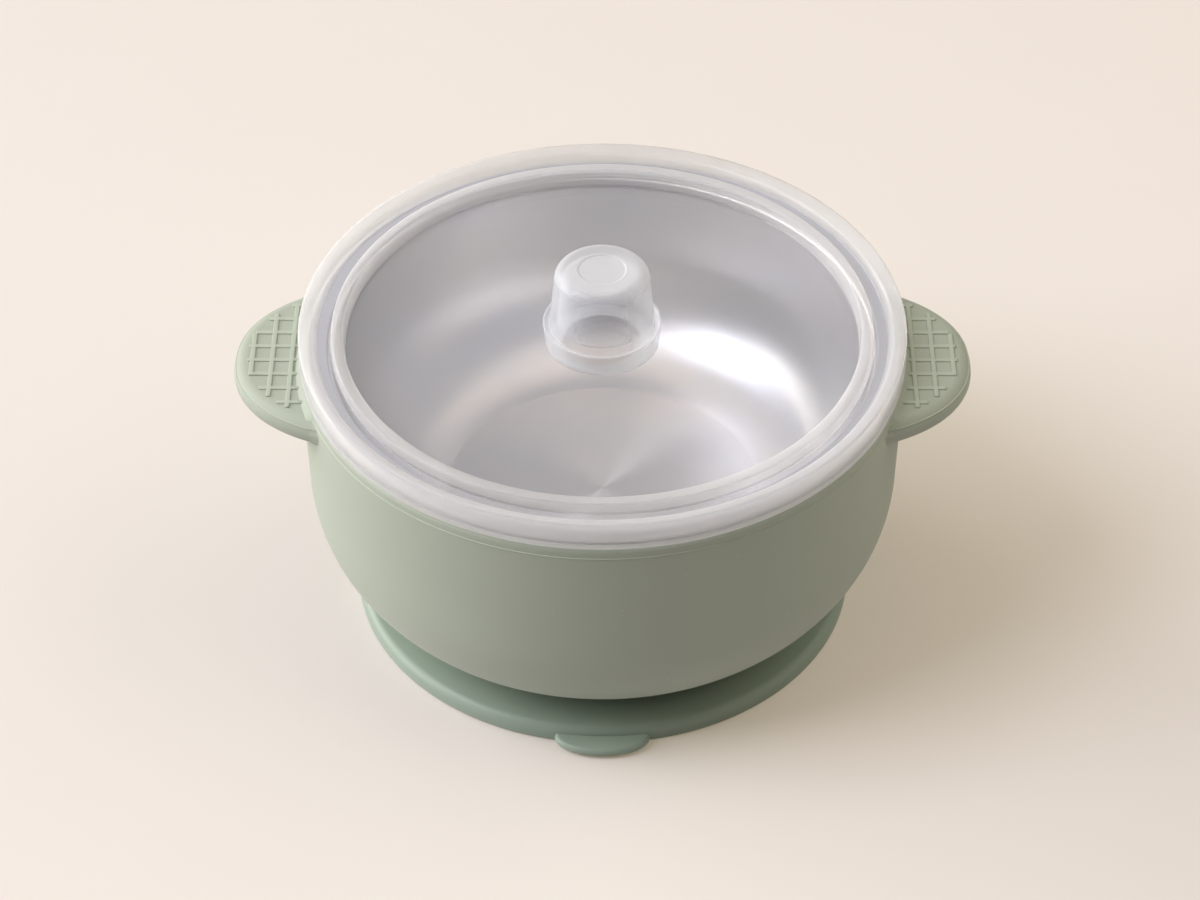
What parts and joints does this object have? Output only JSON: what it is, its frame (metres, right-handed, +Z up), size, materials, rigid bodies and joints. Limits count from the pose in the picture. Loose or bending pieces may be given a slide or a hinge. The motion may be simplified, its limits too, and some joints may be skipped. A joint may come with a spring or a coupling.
{
  "type": "baby suction bowl",
  "caption": "Baby bowl with a steel insert in a soft silicone sleeve with ribbed handles, on a suction cup with a pull tab, under a translucent lift-off lid with a hollow knob.",
  "frame": {"origin": "middle of the suction cup's foot, on the table", "axes": "+Z up out of the bowl's mouth, +X towards one handle, -Y towards the pull tab at the front"},
  "size_m": [0.1584, 0.13, 0.0864],
  "materials": {
    "steel": "spun satin",
    "sleeve_silicone": "matte sage green silicone",
    "cup_silicone": "semi-gloss sage green silicone",
    "lid_plastic": "milky translucent, satin gloss",
    "seal_silicone": "translucent white silicone"
  },
  "bodies": {
    "suction_base": {"suction_cup": "cup_silicone"},
    "release_tab": {"pull_tab": "cup_silicone"},
    "outer_bowl": {"silicone_sleeve": "sleeve_silicone"},
    "inner_bowl": {"steel_bowl": "steel"},
    "lid": {"lid_shell": "lid_plastic", "lid_knob": "lid_plastic", "lid_seal": "seal_silicone"}
  },
  "joints": [
    {"name": "suction_press", "type": "slide", "parent": "suction_base", "child": "outer_bowl", "axis": [0, 0, -1], "range_m": [0, 0.003], "stiffness_N_per_m": 1500, "springref_m": -0.004, "deforming": ["suction_cup"]},
    {"name": "tab_hinge", "type": "hinge", "parent": "suction_base", "child": "release_tab", "pos_m": [0, -0.0556, 0.0015], "axis": [-1, 0, 0], "range_deg": [0, 55], "stiffness_Nm_per_rad": 0.004},
    {"name": "bowl_lift", "type": "slide", "parent": "outer_bowl", "child": "inner_bowl", "axis": [0, 0, 1], "range_m": [0, 0.055]},
    {"name": "lid_lift", "type": "slide", "parent": "inner_bowl", "child": "lid", "axis": [0, 0, 1], "range_m": [0, 0.05]}
  ]
}
